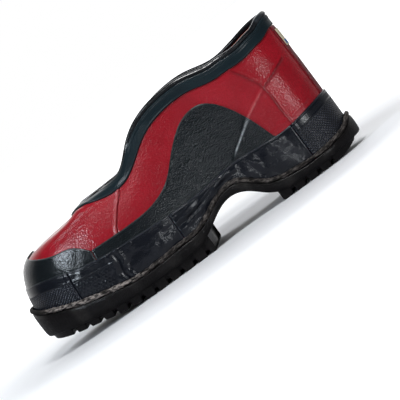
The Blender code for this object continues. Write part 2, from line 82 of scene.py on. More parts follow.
CAP_EDGE = [(0, 88.2), (0.12, 87.6), (0.3, 86.6), (0.7, 86.2), (1, 86.1), (1.5, 85.6), (2, 84.2),
            (2.5, 82), (3, 79), (3.5, 76.5), (4, 73.5), (4.25, 69), (4.5, 62)]

# Where the panels end, in ribs from the toe.
CAP_END, SADDLE_END = 4.5, 10.0
LINING_SEAM = 5.25
VAMP_SEAM = [(0, 5.25), (0.45, 5.27), (0.57, 5.37), (0.72, 5.6), (0.81, 5.77), (1, 5.97)]
FOXING_TOE, FOXING_SEAM, FOXING_HEEL = 3.55, 6.6, 10.45
STAY_HALF, LABEL_HALF = 0.3, 0.22
BUTT = 0.006
BAND_WIDTH = 10.5

TABLE_PER_RIB, TABLE_ROWS = 32, 180
RISES_TRIED = 400        # places tried up a rib to find where an edge crosses it
NUDGE = 0.02             # ribs to either side, to find the direction of the outline
BEAD_OUT = 5.3           # the edge bead's middle, out from the outline


def cubic(points, periodic=False):
    """A smooth cubic through the points, as a function. A periodic one ends as it begins."""
    x, y = np.array(points, float).T
    count = len(x)
    gap = np.diff(x)
    matrix, right = np.zeros((count, count)), np.zeros(count)
    for k in range(1, count - 1):
        matrix[k, k - 1:k + 2] = gap[k - 1], 2 * (gap[k - 1] + gap[k]), gap[k]
        right[k] = 6 * ((y[k + 1] - y[k]) / gap[k] - (y[k] - y[k - 1]) / gap[k - 1])
    matrix[0, 0] = matrix[-1, -1] = 1
    if periodic:
        matrix[0, -1] = -1
        matrix[-1, -1] = 0
        matrix[-1, [0, 1, -2]] = 2 * (gap[0] + gap[-1]), gap[0], gap[-1]
        right[-1] = 6 * ((y[1] - y[0]) / gap[0] - (y[-1] - y[-2]) / gap[-1])
    bend = np.linalg.solve(matrix, right)

    def value(at):
        at = np.asarray(at, float)
        at = x[0] + (at - x[0]) % (x[-1] - x[0]) if periodic else np.clip(at, x[0], x[-1])
        k = np.clip(np.searchsorted(x, at, side="right") - 1, 0, count - 2)
        past, left = at - x[k], x[k + 1] - at
        return ((bend[k] * left**3 + bend[k + 1] * past**3) / (6 * gap[k])
                + (y[k] / gap[k] - bend[k] * gap[k] / 6) * left
                + (y[k + 1] / gap[k] - bend[k + 1] * gap[k] / 6) * past)

    return value


def plan_loop(guide):
    aft = [p[0] for p in guide]
    side = [p[1] for p in guide]
    aft_curve = cubic(list(enumerate(aft + aft[-2::-1])), periodic=True)
    side_curve = cubic(list(enumerate(side + [-s for s in side[-2::-1]])), periodic=True)
    return lambda rib: np.stack([aft_curve(rib), side_curve(rib)], axis=-1)


outline, opening = plan_loop(OUTLINE), plan_loop(OPENING)
topline, vamp_ridge = cubic(TOPLINE), cubic(VAMP_RIDGE)
saddle_edge, foxing_edge, wall_bead = cubic(SADDLE_EDGE), cubic(FOXING_EDGE), cubic(WALL_BEAD)
floor_under, tread_curve, cap_edge = cubic(FLOOR), cubic(TREAD_FACE), cubic(CAP_EDGE)


def floor_stretch(aft):
    slope = (floor_under(aft + 3) - floor_under(aft - 3)) / 6
    return np.sqrt(1 + slope**2)


def smoothstep(value, start=0.0, end=1.0):
    share = np.clip((np.asarray(value, float) - start) / (end - start), 0, 1)
    return share * share * (3 - 2 * share)


def swing(aft):
    return -TOE_SWING * (1 - smoothstep(aft, 20, 190))


def from_toe(rib):
    return np.abs((rib + HALF_RIBS) % RIBS - HALF_RIBS)


def outline_offset(rib, out):
    """The foot of the wall in plan, moved out."""
    along = outline(rib + NUDGE) - outline(rib - NUDGE)
    along /= np.linalg.norm(along, axis=-1, keepdims=True)
    normal = np.stack([-along[..., 1], along[..., 0]], axis=-1)
    return outline(rib) + np.asarray(out)[..., None] * normal


def placed(aft, side, height):
    """Points in the frame, still in millimetres."""
    return np.stack([LENGTH / 2 - aft, side + swing(aft), height + 0 * aft], axis=-1) + TO_FRAME


def bead_line(ribs, out):
    """Points along the middle of the edge bead."""
    plan = outline_offset(ribs, np.full(len(ribs), out))
    return placed(plan[:, 0], plan[:, 1], wall_bead(outline(ribs)[:, 0]))


# The CAD bead's box says where the frame's origin is against the guide points.
TO_FRAME = np.zeros(3)
cad_bead = bead_line(np.arange(0, RIBS, 0.05), 5.4)
low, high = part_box("edge_bead")
TO_FRAME = ((np.array(low) + np.array(high)) / 2 / MM
            - (cad_bead.min(axis=0) + cad_bead.max(axis=0)) / 2)


def edge_height(aft, side):
    """The topline's height, with the outer side's dip."""
    dip = OUTER_DIP * smoothstep(aft, *DIP_START) * smoothstep(aft, *DIP_END)
    return topline(aft) - (dip if side > 0 else 0)


def rib_section(rib):
    """The last's section along one rib, foot to topline, in evenly spaced points."""
    foot, top = outline(rib), opening(rib)
    reach = np.linalg.norm(top - foot)
    share = np.linspace(0, 1, 3 * TABLE_ROWS) ** 3
    inset = np.clip(share * reach / SHOULDER, 0, 1)
    rise = (1 - (1 - inset) ** FULLNESS) ** (1 / FULLNESS)
    aft, side = foot[:, None] + np.outer(top - foot, share)
    base = floor_under(foot[0]) + OUTSOLE_THICK * floor_stretch(foot[0]) + UPPER_LIFT
    crest = edge_height(*top) * vamp_ridge(aft) / vamp_ridge(top[0])
    points = placed(aft, side, base + (crest - base) * rise / rise[-1])
    run = np.r_[0, np.cumsum(np.linalg.norm(np.diff(points, axis=0), axis=1))]
    even = np.linspace(0, run[-1], TABLE_ROWS + 1)
    return np.column_stack([np.interp(even, run, points[:, k]) for k in range(3)]), run[-1]


sections = [rib_section(k / TABLE_PER_RIB) for k in range(RIBS * TABLE_PER_RIB)]
TABLE = np.array([section for section, _ in sections])
HEIGHTS = np.array([length for _, length in sections])
NORMALS = np.cross(np.roll(TABLE, -1, axis=0) - np.roll(TABLE, 1, axis=0), np.gradient(TABLE, axis=1))
NORMALS /= np.linalg.norm(NORMALS, axis=2, keepdims=True)
FOOT_STEPS = np.linalg.norm(np.roll(TABLE[:, 0], -1, axis=0) - TABLE[:, 0], axis=1)
AROUND = FOOT_STEPS.sum()
RUN_RIBS = np.arange(-RIBS, 2 * RIBS + 1e-9, 1 / TABLE_PER_RIB)
RUNS = np.r_[0, np.cumsum(np.tile(FOOT_STEPS, 3))] - AROUND


def run_at(rib):
    """Distance round the foot of the wall from the toe."""
    return np.interp(rib, RUN_RIBS, RUNS)


def table_at(table, rib, rise):
    """A table read at arrays of places."""
    across = (np.asarray(rib, float) % RIBS) * TABLE_PER_RIB
    up = np.clip(np.asarray(rise, float), 0, 1) * TABLE_ROWS
    i, j = np.floor(across).astype(int), np.minimum(np.floor(up).astype(int), TABLE_ROWS - 1)
    f, g = (across - i)[..., None], (up - j)[..., None]
    i, k = i % len(table), (i + 1) % len(table)
    return ((table[i, j] * (1 - g) + table[i, j + 1] * g) * (1 - f)
            + (table[k, j] * (1 - g) + table[k, j + 1] * g) * f)


def normal_at(rib, rise):
    normal = table_at(NORMALS, rib, rise)
    return normal / np.linalg.norm(normal, axis=-1, keepdims=True)


def on_last(rib, rise, out):
    return table_at(TABLE, rib, rise) + normal_at(rib, rise) * np.asarray(out)[..., None]


def section_length(rib):
    return np.interp(np.asarray(rib) % RIBS, np.arange(len(HEIGHTS)) / TABLE_PER_RIB, HEIGHTS, period=RIBS)


def rise_where(ribs, edge):
    """How far up each rib its height first passes edge(rib, aft)."""
    rises = np.linspace(0, 1, RISES_TRIED)
    found = []
    for rib in np.atleast_1d(ribs):
        points = table_at(TABLE, np.full(len(rises), rib), rises) - TO_FRAME
        over = points[:, 2] - edge(rib, LENGTH / 2 - points[:, 0])
        above = np.nonzero(over > 0)[0]
        k = above[0] if len(above) else len(rises) - 1
        found.append(float(np.interp(0, over[k - 1:k + 1], rises[k - 1:k + 1])) if k else 0.0)
    return np.array(found)


def foxing_rise(ribs):
    return rise_where(ribs, lambda rib, aft: foxing_edge(aft))


def over_foxing(ribs):
    """Just under the foxing's top edge, which laps over whatever stands on it."""
    return foxing_rise(ribs) - 1.0 / section_length(ribs)


def saddle_rise(ribs):
    return np.maximum(rise_where(ribs, lambda rib, aft: saddle_edge(aft)), over_foxing(ribs) + 0.004)


def cap_rise(ribs):
    return rise_where(ribs, lambda rib, aft: cap_edge(from_toe(rib)))


def band_rise(ribs):
    """A band's width square down from the topline."""
    ribs = np.atleast_1d(ribs)
    top = np.ones(len(ribs))
    up = table_at(TABLE, ribs, top) - table_at(TABLE, ribs, top - 0.01)
    along = table_at(TABLE, ribs + 0.1, top) - table_at(TABLE, ribs - 0.1, top)
    up /= np.linalg.norm(up, axis=1, keepdims=True)
    along /= np.linalg.norm(along, axis=1, keepdims=True)
    square = np.linalg.norm(np.cross(up, along), axis=1)
    return 1 - BAND_WIDTH / (square * section_length(ribs))


# ---------------------------------------------------------------- relief

LATTICE_SIZE = 64
LATTICE = np.random.default_rng(7).uniform(-1, 1, (LATTICE_SIZE, LATTICE_SIZE))


def ripple(x, y, size):
    """Smooth seeded noise from -1 to 1 over a plane, with features of about that size."""
    x, y = x / size, y / size
    i, j = np.floor(x).astype(int), np.floor(y).astype(int)
    f, g = smoothstep(x - i), smoothstep(y - j)
    i, j = i % LATTICE_SIZE, j % LATTICE_SIZE
    k, m = (i + 1) % LATTICE_SIZE, (j + 1) % LATTICE_SIZE
    return ((LATTICE[i, j] * (1 - g) + LATTICE[i, m] * g) * (1 - f)
            + (LATTICE[k, j] * (1 - g) + LATTICE[k, m] * g) * f)


def hand_laid(at, amount=0.16):
    """Slow unevenness of a ply rolled down by hand."""
    return amount * (ripple(at.run, at.up, 21) + 0.6 * ripple(at.run + 300, at.up, 8.5)
                     + 0.25 * ripple(at.run, at.up + 90, 3.6))


def knurl(at, across=3.1, upright=2.7):
    """Small raised diamonds, 0 in the grooves and 1 on top."""
    def wave(value):
        return np.abs((value % 1) * 2 - 1)
    lean = np.minimum(wave(at.run / across + at.up / upright), wave(at.run / across - at.up / upright))
    return smoothstep(lean, 0.05, 0.62)


def line_relief(at, points, width):
    """A ridge along a polyline of (aft, height) points, 1 on its crest."""
    nearest = np.full(at.aft.shape, 1e9)
    for (x0, z0), (x1, z1) in zip(points, points[1:]):
        span = (x1 - x0) ** 2 + (z1 - z0) ** 2
        share = np.clip(((at.aft - x0) * (x1 - x0) + (at.z - z0) * (z1 - z0)) / span, 0, 1)
        nearest = np.minimum(nearest, np.hypot(at.aft - x0 - share * (x1 - x0),
                                               at.z - z0 - share * (z1 - z0)))
    return np.exp(-(nearest / width) ** 2)


def ridge(distance, place, width):
    return np.exp(-((distance - place) / width) ** 2)


# ---------------------------------------------------------------- making pieces

def new_mesh(name, points, quads):
    mesh = bpy.data.meshes.new(name)
    mesh.vertices.add(len(points))
    mesh.vertices.foreach_set("co", (points * MM).astype(np.float32).ravel())
    mesh.loops.add(4 * len(quads))
    mesh.loops.foreach_set("vertex_index", quads.astype(np.int32).ravel())
    mesh.polygons.add(len(quads))
    mesh.polygons.foreach_set("loop_start", np.arange(0, 4 * len(quads), 4, dtype=np.int32))
    mesh.update(calc_edges=True)
    mesh.validate()
    mesh.shade_smooth()
    return mesh


def grid_quads(index):
    """Quads over a table of vertex numbers, facing up where its rows run left and its columns away."""
    return np.stack([index[:-1, :-1], index[1:, :-1], index[1:, 1:], index[:-1, 1:]], axis=-1).reshape(-1, 4)


def finish(name, mesh, material, nodes):
    obj = bpy.data.objects.new(name, mesh)
    bpy.context.scene.collection.objects.link(obj)
    mesh.materials.append(material)
    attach(obj, "root")
    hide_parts(*nodes)
    return obj


def paint(mesh, name, values):
    """A number for each vertex that the material can read."""
    layer = mesh.attributes.new(name, "FLOAT", "POINT")
    layer.data.foreach_set("value", np.asarray(values, np.float32).ravel())


ROUND_STEPS = np.array([0, 0.07, 0.25, 0.55, 1.0])
ROUND_HEIGHTS = np.sqrt(1 - (1 - ROUND_STEPS) ** 2)
ROUND_MOST = 2.5         # a border's radius is at most its strip's width over this
SCUFF_WIDTH = 1.6        # how far in from a border it is scuffed
PLAIN_SCUFF, WORN_SCUFF = 0.25, 0.12


def rounded_steps(length, step, radius):
    """Distances along a strip, close together at its two rounded ends, and how tall it stands at each."""
    radius = min(radius, length / ROUND_MOST)
    near = ROUND_STEPS * radius
    count = max(int(round((length - 2 * radius) / step)), 1)
    middle = np.linspace(radius, length - radius, count + 1)[1:-1]
    places = np.r_[near, middle, length - near[::-1]]
    tall = np.r_[ROUND_HEIGHTS, np.ones(len(middle)), ROUND_HEIGHTS[::-1]]
    return places, tall


def panel(name, ribs, ply, material, slot, low=None, high=None, relief=None, step=1.0, radius=0.8,
          nodes=None, wear=None, lean=None, shade=None):
    """A ply over the last with rounded borders, as (height of its flat face, thickness).

    A negative thickness turns its worked face inwards. low and high give its borders' rises at each rib.
    relief, wear and shade are read at every place: how far it stands out, its scuffs together with any
    painted highlights, and how much painted shade darkens it.
    lean(share, rise) says how many ribs further back a place lies, a share of 0 to 1 of the way along.
    """
    inner, thickness = ply
    first, last = ribs
    start = run_at(first)
    runs, tall_across = rounded_steps(run_at(last) - start, step, radius)
    rib = np.interp(runs + start, RUNS, RUN_RIBS)
    lows = low(rib) if low else np.zeros(len(rib))
    highs = high(rib) if high else np.ones(len(rib))
    lengths = section_length(rib) * (highs - lows)
    _, tall_up = rounded_steps(lengths.max(), step, radius)
    count = len(tall_up)
    near = len(ROUND_STEPS)
    up = np.empty((len(rib), count))
    for column, length in enumerate(lengths):
        edge = min(radius, length / ROUND_MOST)
        up[column, :near] = ROUND_STEPS * edge
        up[column, near:-near] = np.linspace(edge, length - edge, count - 2 * near + 2)[1:-1]
        up[column, -near:] = length - (ROUND_STEPS * edge)[::-1]
    rise = lows[:, None] + up / section_length(rib)[:, None]
    ribs_grid = np.repeat(rib[:, None], count, axis=1)
    if lean:
        ribs_grid = ribs_grid + lean(((runs - runs[0]) / (runs[-1] - runs[0]))[:, None], rise)
    flat = on_last(ribs_grid, rise, np.full(rise.shape, inner))
    places = SimpleNamespace(
        rib=ribs_grid, rise=rise, run=np.repeat((runs + start)[:, None], count, axis=1),
        up=rise * section_length(rib)[:, None], over_low=up, under_high=lengths[:, None] - up,
        from_start=np.repeat(runs[:, None], count, axis=1),
        from_end=np.repeat((runs[-1] - runs)[:, None], count, axis=1),
        aft=LENGTH / 2 - (flat[..., 0] - TO_FRAME[0]), z=flat[..., 2] - TO_FRAME[2])
    tall = tall_across[:, None] * tall_up[None, :]
    extra = relief(places) if relief else 0 * rise
    sign = np.sign(thickness)
    out = inner + (thickness + sign * extra) * tall
    worked = on_last(ribs_grid, rise, out)
    index = np.arange(rise.size).reshape(rise.shape)
    back = index.copy()
    inside = flat[1:-1, 1:-1]
    back[1:-1, 1:-1] = rise.size + np.arange(inside[..., 0].size).reshape(inside.shape[:2])
    points = np.vstack([worked.reshape(-1, 3), inside.reshape(-1, 3)])
    quads = np.vstack([grid_quads(index), grid_quads(back)[:, ::-1]])
    mesh = new_mesh(name, points, quads if sign > 0 else quads[:, ::-1])
    from_border = np.minimum.reduce([up, lengths[:, None] - up, places.from_start, places.from_end])
    scuff = 1 - np.clip(from_border / SCUFF_WIDTH, 0, 1)
    # Scuffed near the borders; a given function adds its own marks, which on some pieces are painted
    # highlights and glints.
    wear_and_highlight_values = scuff * PLAIN_SCUFF if wear is None else np.maximum(scuff * WORN_SCUFF, wear(places))
    paint(mesh, "wear", np.r_[wear_and_highlight_values.ravel(), np.zeros(len(points) - rise.size)])
    if shade:
        paint(mesh, "shade", np.r_[shade(places).ravel(), np.zeros(len(points) - rise.size)])
    return finish(name, mesh, material, nodes or [name])


def both_sides(name, ribs, *args, **options):
    """A left panel, and its twin on the right."""
    first, last = ribs
    panel(f"{name}_left", (first, last), *args, **options)
    panel(f"{name}_right", (RIBS - last, RIBS - first), *args, **options)


def cord(name, path, ups, radii, material, wear=None):
    """A closed cord: radii[k, a] is its radius at point k and angle step a.

    Its rib crests are scuffed paler, unless wear gives other marks.
    """
    count, sides = radii.shape
    along = np.roll(path, -1, axis=0) - np.roll(path, 1, axis=0)
    along /= np.linalg.norm(along, axis=1, keepdims=True)
    outward = np.cross(along, ups)
    outward /= np.linalg.norm(outward, axis=1, keepdims=True)
    upward = np.cross(outward, along)
    angle = np.arange(sides) * 2 * math.pi / sides
    ring = (np.cos(angle)[None, :, None] * outward[:, None] + np.sin(angle)[None, :, None] * upward[:, None])
    points = path[:, None] + ring * radii[..., None]
    index = np.arange(count * sides).reshape(count, sides)
    index = np.vstack([index, index[:1]])
    index = np.hstack([index, index[:, :1]])
    mesh = new_mesh(name, points.reshape(-1, 3), grid_quads(index))
    paint(mesh, "wear", np.clip((radii / radii.mean() - 1) * 6, 0, 1) if wear is None else wear)
    return finish(name, mesh, material, [name])


# ---------------------------------------------------------------- materials

SPECULAR, COAT_ROUGHNESS = 0.04, 0.17
BUMP_HEIGHT, CELL_SHARE, COAT_BUMP = 0.0006, 1.3, 0.8    # height in metres, and shares of it


def surface_material(name, colour, dark, light, roughness, grain, strength, coat=0.0, wear_colour=None,
                     wear_amount=0.35, patches=0.5):
    """A rubber or cloth surface: mottled colour, fine grain, scuffed places with painted highlights, and
    painted shade.

    grain is how many of its cells fit in a metre and strength how deep they are. The places come from
    the mesh's wear and shade numbers, which carry scuffs with painted highlights, and painted shade.
    wear_amount and patches are how much the scuffs with their painted highlights and the mottle show.
    """
    material = bpy.data.materials.new(name)
    material.use_nodes = True
    nodes, links = material.node_tree.nodes, material.node_tree.links
    shader = nodes["Principled BSDF"]

    def add(kind, **settings):
        node = nodes.new(kind)
        for key, value in settings.items():
            if key in node.inputs:
                node.inputs[key].default_value = value
            else:
                setattr(node, key, value)
        return node

    def mix(factor, first, second):
        node = nodes.new("ShaderNodeMix")
        node.data_type = "RGBA"
        sockets = node.inputs["Factor"], node.inputs[6], node.inputs[7]
        for socket, value in zip(sockets, (factor, first, second)):
            if isinstance(value, bpy.types.NodeSocket):
                links.new(value, socket)
            else:
                socket.default_value = value if isinstance(value, float) else (*value, 1)
        return node.outputs[2]

    def scaled(socket, low, high, out_low, out_high):
        node = add("ShaderNodeMapRange", interpolation_type="SMOOTHSTEP")
        node.inputs["From Min"].default_value, node.inputs["From Max"].default_value = low, high
        node.inputs["To Min"].default_value, node.inputs["To Max"].default_value = out_low, out_high
        links.new(socket, node.inputs["Value"])
        return node.outputs["Result"]

    place = add("ShaderNodeTexCoord").outputs["Object"]
    mottle = add("ShaderNodeTexNoise", Scale=38.0, Detail=5.0, Roughness=0.6)
    cells = add("ShaderNodeTexVoronoi", Scale=grain, feature="SMOOTH_F1", Smoothness=0.35)
    fine = add("ShaderNodeTexNoise", Scale=grain * 1.1, Detail=1.0, Roughness=0.5)
    dust = add("ShaderNodeTexNoise", Scale=210.0, Detail=6.0, Roughness=0.75)
    for node in (mottle, cells, fine, dust):
        links.new(place, node.inputs["Vector"])
    body = mix(scaled(mottle.outputs["Fac"], 0.35, 0.65, 0.0, patches), colour, dark)
    body = mix(scaled(dust.outputs["Fac"], 0.56, 0.75, 0.0, 0.5), body, light)
    body = mix(scaled(cells.outputs["Distance"], 0.1, 0.5, 0.9, 0.0), body, dark)
    # Scuffs and painted highlights from the wear attribute, mixed in the wear colour.
    scuffs_and_highlights = add("ShaderNodeMath", operation="MULTIPLY")
    links.new(add("ShaderNodeAttribute", attribute_name="wear").outputs["Fac"], scuffs_and_highlights.inputs[0])
    links.new(scaled(dust.outputs["Fac"], 0.3, 0.7, 0.2, wear_amount * 2), scuffs_and_highlights.inputs[1])
    body = mix(scuffs_and_highlights.outputs[0], body, wear_colour or light)
    # Painted shade: where the mesh's shade number is high, the colour darkens towards a third of the dark
    # colour.
    shade = add("ShaderNodeAttribute", attribute_name="shade").outputs["Fac"]
    body = mix(shade, body, tuple(0.35 * value for value in dark))
    links.new(body, shader.inputs["Base Color"])
    links.new(scaled(dust.outputs["Fac"], 0.35, 0.75, roughness - 0.06, roughness + 0.14),
              shader.inputs["Roughness"])
    height = add("ShaderNodeMath", operation="MULTIPLY_ADD")
    links.new(cells.outputs["Distance"], height.inputs[0])
    height.inputs[1].default_value = CELL_SHARE
    links.new(fine.outputs["Fac"], height.inputs[2])
    for share, socket in ((1.0, "Normal"), (COAT_BUMP, "Coat Normal")):
        bump = add("ShaderNodeBump", Strength=strength * share, Distance=BUMP_HEIGHT)
        links.new(height.outputs[0], bump.inputs["Height"])
        links.new(bump.outputs["Normal"], shader.inputs[socket])
    shader.inputs["Coat Weight"].default_value = coat
    shader.inputs["Coat Roughness"].default_value = COAT_ROUGHNESS
    shader.inputs["Specular IOR Level"].default_value = SPECULAR
    return material


# The wear colours serve for scuffs and, on the red, black and foxing rubbers, also for painted highlights
# and glints.
RED = surface_material(
    "red rubber", (0.34, 0.0075, 0.017),
    (0.23, 0.005, 0.011), (0.4, 0.016, 0.026),
    0.4, 760, 0.26, coat=0.8, wear_colour=(0.6, 0.2, 0.2))
DARK_RED = surface_material(
    "dark red rubber", (0.16, 0.007, 0.012),
    (0.11, 0.005, 0.009), (0.24, 0.02, 0.03),
    0.4, 1000, 0.3, coat=0.4, wear_colour=(0.4, 0.12, 0.12))
BLACK = surface_material(
    "black rubber", (0.0055, 0.0085, 0.0105),
    (0.003, 0.005, 0.0065), (0.012, 0.017, 0.02),
    0.4, 760, 0.18, coat=0.9, wear_colour=(0.5, 0.54, 0.56))
FOXING = surface_material(
    "foxing rubber", (0.005, 0.0065, 0.011),
    (0.003, 0.004, 0.0065), (0.01, 0.013, 0.02),
    0.35, 700, 0.08, coat=0.9, wear_colour=(0.08, 0.09, 0.13))
SOLE = surface_material(
    "sole rubber", (0.0085, 0.0075, 0.0078),
    (0.004, 0.0037, 0.004), (0.022, 0.019, 0.018),
    0.5, 600, 0.3, coat=0.25, wear_colour=(0.05, 0.046, 0.043))
SLATE = surface_material(
    "slate rubber", (0.009, 0.0185, 0.0235),
    (0.006, 0.012, 0.016), (0.018, 0.03, 0.037),
    0.4, 700, 0.12, coat=0.5, wear_colour=(0.07, 0.09, 0.1))
ROLL = surface_material(
    "roll rubber", (0.0045, 0.0055, 0.007),
    (0.003, 0.0035, 0.0045), (0.012, 0.014, 0.016),
    0.3, 700, 0.12, coat=0.7, wear_colour=(0.05, 0.06, 0.07))
BEAD = surface_material(
    "edge bead rubber", (0.016, 0.0142, 0.0135),
    (0.008, 0.0072, 0.007), (0.05, 0.045, 0.042),
    0.6, 500, 0.6, wear_colour=(0.3, 0.265, 0.245), wear_amount=0.9, patches=0.9)
LINING = surface_material(
    "lining cloth", (0.2, 0.012, 0.01),
    (0.12, 0.008, 0.006), (0.3, 0.04, 0.025),
    0.85, 1500, 0.8, wear_colour=(0.42, 0.13, 0.05), wear_amount=0.5)
SOCK = surface_material(
    "sock cloth", (0.045, 0.022, 0.018),
    (0.025, 0.012, 0.01), (0.1, 0.055, 0.04),
    0.9, 1500, 0.8)
CREAM = surface_material(
    "label cloth", (0.72, 0.66, 0.48),
    (0.55, 0.5, 0.36), (0.85, 0.8, 0.65),
    0.7, 1800, 0.5, wear_colour=(0.4, 0.36, 0.25))
BLUE = surface_material(
    "label blue", (0.09, 0.2, 0.42),
    (0.06, 0.14, 0.3), (0.3, 0.4, 0.6),
    0.7, 1800, 0.5)
GUM = surface_material(
    "gum rubber", (0.25, 0.12, 0.05),
    (0.18, 0.08, 0.03), (0.35, 0.2, 0.1),
    0.7, 700, 0.4)

for node in ("forefoot_filler", "shank_stiffener", "heel_filler", "insole", "toe_puff", "counter_ply",
             "ankle_strap_left", "ankle_strap_right"):
    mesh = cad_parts[node].data
    mesh.materials.clear()
    mesh.materials.append(GUM)

# ---------------------------------------------------------------- upper

# Ridges that hidden plies print through the outer ones, as (aft, height), and how strongly.
STRAP_LINE = [(223, 53), (229, 58), (254, 75), (269, 83), (279, 88), (292, 93), (305, 99)]
COUNTER_LINE = [(262, 121), (266, 114), (271, 106), (278, 92), (280, 80), (280, 66), (281, 50)]
LOW_LINE = [(262, 53), (280, 54), (292, 56), (302, 58)]


def print_through(at):
    return np.maximum.reduce([0.75 * line_relief(at, STRAP_LINE, 1.2),
                              0.95 * line_relief(at, COUNTER_LINE, 1.4),
                              0.35 * line_relief(at, LOW_LINE, 0.9)])


def quarter_relief(at):
    return hand_laid(at) + print_through(at)


def vamp_relief(at):
    """Uneven by hand, with a rolled lap at the seams to the quarters."""
    to_seam = np.minimum(at.from_start, at.from_end)
    creases = 0.12 * np.sin(at.up / 2.1 + 2 * ripple(at.run, at.up, 30))
    creased = smoothstep(ripple(at.run, at.up, 26), 0.1, 0.7)
    return hand_laid(at) + creases * creased + 0.75 * ridge(to_seam, 1.5, 1.2)


def saddle_relief(at):
    return hand_laid(at, 0.12) + 0.5 * line_relief(at, STRAP_LINE, 0.8)


def cap_relief(at):
    return hand_laid(at, 0.14)


def ridge_wear(at):
    """A painted highlight on the crest of the strap's edge, only below its crossing with the counter's."""
    return 0.9 * line_relief(at, STRAP_LINE, 0.7) * smoothstep(at.aft, 280, 270)


def painted_ridge_shade(at):
    """Painted shade along the counter's edge and the upper end of the strap's."""
    return np.maximum(0.85 * line_relief(at, COUNTER_LINE, 1.0) * (0.6 + 0.4 * ripple(at.run, at.up, 9)),
                      0.7 * line_relief(at, STRAP_LINE, 0.9) * smoothstep(at.aft, 276, 281))


def vamp_wear(at):
    return 0.8 * ridge(np.minimum(at.from_start, at.from_end), 1.5, 0.9)


# A painted highlight: a pale line along the crest of the strap's edge on the saddle.
def strap_wear(at):
    return 1.6 * line_relief(at, STRAP_LINE, 0.6) * smoothstep(at.aft, 224, 234)


RED_PLY, OVERLAY_PLY, FOXING_PLY = (-1.2, 1.2), (0.1, 1.6), (-0.3, 2.8)
seam_ribs = VAMP_SEAM[0][1]


def seam_lean(rise):
    """How far back of its foot the vamp's lap has leant at this rise, in ribs."""
    return np.interp(rise, *zip(*VAMP_SEAM)) - seam_ribs


panel("vamp", (-seam_ribs, seam_ribs), RED_PLY, RED, "red_rubber", relief=vamp_relief, wear=vamp_wear,
      lean=lambda share, rise: seam_lean(rise) * (2 * share - 1) ** 3)
panel("quarter_left", (seam_ribs + BUTT, HALF_RIBS - BUTT), RED_PLY, RED, "red_rubber",
      relief=quarter_relief, wear=ridge_wear, shade=painted_ridge_shade,
      lean=lambda share, rise: seam_lean(rise) * (1 - share) ** 2)
panel("quarter_right", (HALF_RIBS + BUTT, RIBS - seam_ribs - BUTT), RED_PLY, RED, "red_rubber",
      relief=quarter_relief, wear=ridge_wear, shade=painted_ridge_shade,
      lean=lambda share, rise: -seam_lean(rise) * share ** 2)
panel("toe_cap", (-CAP_END + BUTT, CAP_END - BUTT), OVERLAY_PLY, BLACK, "black_rubber", over_foxing,
      cap_rise, cap_relief, step=0.8)
both_sides("saddle", (CAP_END + BUTT, SADDLE_END), OVERLAY_PLY, BLACK, "black_rubber", over_foxing,
           saddle_rise, saddle_relief, wear=strap_wear)
panel("back_stay", (HALF_RIBS - STAY_HALF, HALF_RIBS + STAY_HALF), (0.1, 1.1), DARK_RED, "dark_red_rubber",
      over_foxing, lambda ribs: band_rise(ribs) - 0.003, hand_laid, step=0.7)


def band_relief(at):
    """Flat, with a fine rib at its lower edge and two under the roll."""
    return (0.05 * ripple(at.run, at.up, 14) + 0.25 * ridge(at.over_low, 1.1, 0.45)
            + 0.55 * ridge(at.under_high, 1.0, 0.7) + 0.4 * ridge(at.under_high, 2.7, 0.5))


panel("topline_binding", (HALF_RIBS + 0.02, HALF_RIBS + RIBS - 0.02), (0.1, 1.5), SLATE, "slate_rubber",
      band_rise, None, band_relief, step=0.7)

# ---------------------------------------------------------------- foxing

FOXING_BAND = 8.5        # height of the smooth band over the knurling


def foxing_lines(at):
    """A fine line under the top edge and another where the smooth band ends."""
    return -0.35 * ridge(at.under_high, 1.6, 0.4) + 0.4 * ridge(at.under_high, FOXING_BAND, 0.5)


def knurled(at):
    below = smoothstep(at.under_high, FOXING_BAND + 0.4, FOXING_BAND + 1.2)
    return below * 0.5 * knurl(at) + 0.25 * (1 - below) + foxing_lines(at) + 0.08 * ripple(at.run, at.up, 12)


# Painted glints: the tops of the knurl's diamonds below the smooth band are painted in the paler bluish
# foxing colour.
def knurl_wear(at):
    return smoothstep(at.under_high, FOXING_BAND + 0.5, FOXING_BAND + 1.5) * (knurl(at) > 0.9) * 0.55


def pinch(at):
    """A crease across the strip with a swelling on both sides."""
    place = at.aft + 1.2 * np.sin(at.z / 4)
    return 0.7 * ridge(place, 88.5, 2.4) - 1.1 * ridge(place, 93, 1.3) + 0.8 * ridge(place, 97.5, 3.0)


UPPER_FOLD = [(118, 37), (150, 38.5), (175, 41), (196, 46), (214, 51)]
LOWER_FOLD = [(128, 31), (156, 31.5), (176, 35.5), (190, 42), (204, 46.5), (218, 47)]
VALLEY = [(122, 34), (152, 35), (172, 37.5), (188, 42.5), (206, 49)]


def front_relief(at):
    """A shallow hatch behind the toe strip, then plain but for the deep pinch where the foot bends."""
    hatch = smoothstep(at.aft, 86, 80) * smoothstep(at.under_high, FOXING_BAND, FOXING_BAND + 2)
    return (0.16 * hatch * knurl(at, 3.6, 5.5) + foxing_lines(at) * smoothstep(at.aft, 92, 80)
            + hand_laid(at, 0.4) + pinch(at))


def rear_relief(at):
    """Long folds where the strip is drawn up round the arch, knotted by short cross swellings."""
    knots = 0.75 + 0.45 * ripple(at.run, at.up, 7)
    folds = (0.95 * line_relief(at, UPPER_FOLD, 2.6) - 0.8 * line_relief(at, VALLEY, 1.3)
             + 0.7 * line_relief(at, LOWER_FOLD, 2.0))
    return hand_laid(at, 0.45) + folds * knots - 0.35 * ridge(at.under_high, 1.6, 0.4)


def lapped_knurl(at):
    """Knurling, with the strip's ends raised where they lap over its neighbours."""
    return knurled(at) + 0.35 * smoothstep(np.minimum(at.from_start, at.from_end), 4.5, 3.0)


